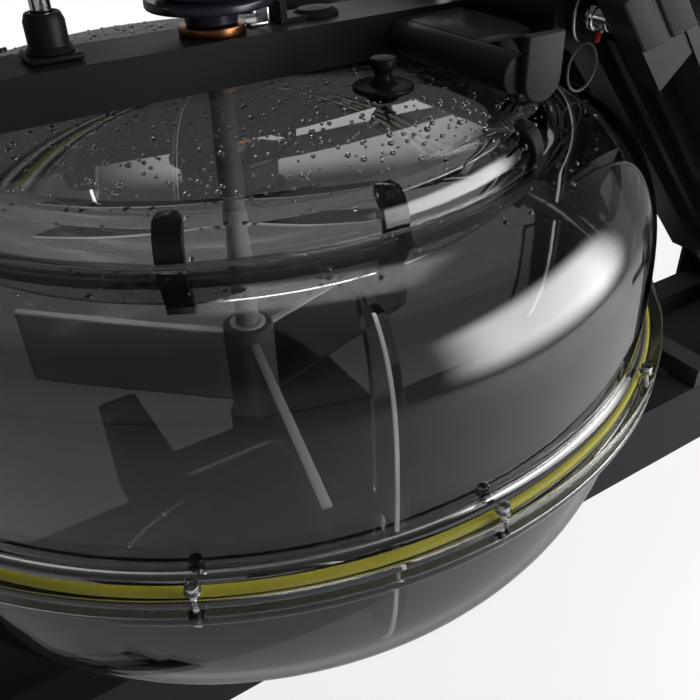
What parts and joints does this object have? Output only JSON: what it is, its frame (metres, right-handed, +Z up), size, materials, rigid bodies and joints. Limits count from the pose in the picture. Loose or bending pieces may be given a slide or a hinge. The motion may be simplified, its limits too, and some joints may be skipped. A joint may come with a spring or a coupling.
{
  "type": "water rowing machine",
  "caption": "Rowing machine with a smoke-grey water tank and paddle on twin rails, a cross beam with strap drum, footrests and display, a pull handle, and a rolling seat.",
  "frame": {"origin": "on the floor, under the middle of the whole machine's box", "axes": "+X toward the seat end, +Y to the rower's right, +Z up"},
  "size_m": [2.016, 0.524, 0.8734],
  "materials": {
    "frame_metal": "satin, faintly purple-grey",
    "black_plastic": "fine matte grain",
    "black_rubber": "matte",
    "smoked_tank": "clear, smoke grey, glossy",
    "yellow_seal": "soft",
    "bright_chrome": "polished",
    "plain_steel": "turned",
    "bearing_brass": "turned",
    "strap_webbing": "woven",
    "screen_glass": "glossy"
  },
  "bodies": {
    "frame": {"right_rail": "frame_metal", "left_rail": "frame_metal", "web_plate": "frame_metal", "front_post": "frame_metal", "rear_post": "frame_metal", "upper_beam": "frame_metal", "front_leg": "frame_metal", "rear_leg": "frame_metal", "front_foot_bar": "frame_metal", "rear_foot_bar": "frame_metal", "tank_cradle": "frame_metal", "roller_bracket": "frame_metal", "handle_rest": "frame_metal", "right_footrest_arm": "frame_metal", "left_footrest_arm": "frame_metal", "front_end_cap": "black_plastic", "rear_end_cap": "black_plastic", "right_footplate": "black_plastic", "left_footplate": "black_plastic", "rod_socket": "black_plastic", "beam_cap": "black_plastic", "front_foot_pad": "black_rubber", "rear_foot_pad": "black_rubber", "cradle_pad": "black_rubber", "lid_gasket": "black_rubber", "front_stop": "black_rubber", "rear_stop": "black_rubber", "upper_shell": "smoked_tank", "lower_shell": "smoked_tank", "lid": "smoked_tank", "seal_cord": "yellow_seal", "right_pivot_bolt": "bright_chrome", "left_pivot_bolt": "bright_chrome", "display_rod": "bright_chrome", "wheel_axle": "plain_steel", "shaft_bush": "bearing_brass", "pull_strap": "strap_webbing", "right_foot_strap": "strap_webbing", "left_foot_strap": "strap_webbing"},
    "paddle_rotor": {"shaft": "plain_steel", "paddle": "black_plastic"},
    "strap_drum": {"drum": "black_plastic"},
    "pull_handle": {"handle_bar": "black_plastic", "right_grip": "black_rubber", "left_grip": "black_rubber"},
    "strap_guide": {"guide_roller": "black_plastic"},
    "seat": {"seat_carriage": "frame_metal", "seat_pedestal": "black_plastic", "seat_pad": "black_rubber"},
    "seat_front_rollers": {"front_rollers": "black_plastic"},
    "seat_rear_rollers": {"rear_rollers": "black_plastic"},
    "right_transport_wheel": {"right_wheel": "black_rubber"},
    "left_transport_wheel": {"left_wheel": "black_rubber"},
    "right_heel": {"right_heel_cup": "black_plastic"},
    "left_heel": {"left_heel_cup": "black_plastic"},
    "tank_plug": {"fill_plug": "black_plastic"},
    "display": {"display_housing": "black_plastic", "display_screen": "screen_glass"},
    "display_left_button": {"left_button": "black_rubber"},
    "display_right_button": {"right_button": "black_rubber"}
  },
  "joints": [
    {"name": "paddle_spin", "type": "hinge", "parent": "frame", "child": "paddle_rotor", "pos_m": [-0.64, 0, 0.4], "axis": [0, 0, 1], "continuous": true},
    {"name": "handle_pull", "type": "slide", "parent": "frame", "child": "pull_handle", "axis": [1, 0, 0], "range_m": [0, 1.1], "stiffness_N_per_m": 12, "springref_m": -1},
    {"name": "drum_spin", "type": "hinge", "parent": "frame", "child": "strap_drum", "pos_m": [-0.64, 0, 0.66], "axis": [0, 0, 1], "range_deg": [-2102, 0]},
    {"name": "guide_spin", "type": "hinge", "parent": "frame", "child": "strap_guide", "pos_m": [-0.34, 0, 0.6527], "axis": [0, 1, 0], "range_deg": [0, 4505]},
    {"name": "seat_slide", "type": "slide", "parent": "frame", "child": "seat", "axis": [1, 0, 0], "range_m": [-0.165, 0.76]},
    {"name": "seat_front_roll", "type": "hinge", "parent": "seat", "child": "seat_front_rollers", "pos_m": [-0.008, 0, 0.28], "axis": [0, 1, 0], "range_deg": [-482, 2214]},
    {"name": "seat_rear_roll", "type": "hinge", "parent": "seat", "child": "seat_rear_rollers", "pos_m": [0.172, 0, 0.28], "axis": [0, 1, 0], "range_deg": [-482, 2214]},
    {"name": "right_wheel_spin", "type": "hinge", "parent": "frame", "child": "right_transport_wheel", "pos_m": [-0.978, 0.21, 0.032], "axis": [0, 1, 0], "continuous": true},
    {"name": "left_wheel_spin", "type": "hinge", "parent": "frame", "child": "left_transport_wheel", "pos_m": [-0.978, -0.21, 0.032], "axis": [0, 1, 0], "continuous": true},
    {"name": "right_heel_adjust", "type": "slide", "parent": "frame", "child": "right_heel", "axis": [-0.6451, 0, 0.7641], "range_m": [-0.02, 0.06]},
    {"name": "left_heel_adjust", "type": "slide", "parent": "frame", "child": "left_heel", "axis": [-0.6451, 0, 0.7641], "range_m": [-0.02, 0.06]},
    {"name": "plug_lift", "type": "slide", "parent": "frame", "child": "tank_plug", "axis": [0, 0, 1], "range_m": [0, 0.05]},
    {"name": "display_tilt", "type": "hinge", "parent": "frame", "child": "display", "pos_m": [-0.727, 0, 0.81], "axis": [0, 1, 0], "range_deg": [-35, 30]},
    {"name": "left_button_press", "type": "slide", "parent": "display", "child": "display_left_button", "axis": [-0.766, 0, -0.6428], "range_m": [0, 0.0015], "stiffness_N_per_m": 400},
    {"name": "right_button_press", "type": "slide", "parent": "display", "child": "display_right_button", "axis": [-0.766, 0, -0.6428], "range_m": [0, 0.0015], "stiffness_N_per_m": 400}
  ],
  "couplings": [
    {"joint": "drum_spin", "follows": "handle_pull", "rad_per_m": -33.333},
    {"joint": "guide_spin", "follows": "handle_pull", "rad_per_m": 71.429},
    {"joint": "seat_front_roll", "follows": "seat_slide", "rad_per_m": 50.761},
    {"joint": "seat_rear_roll", "follows": "seat_slide", "rad_per_m": 50.761}
  ]
}
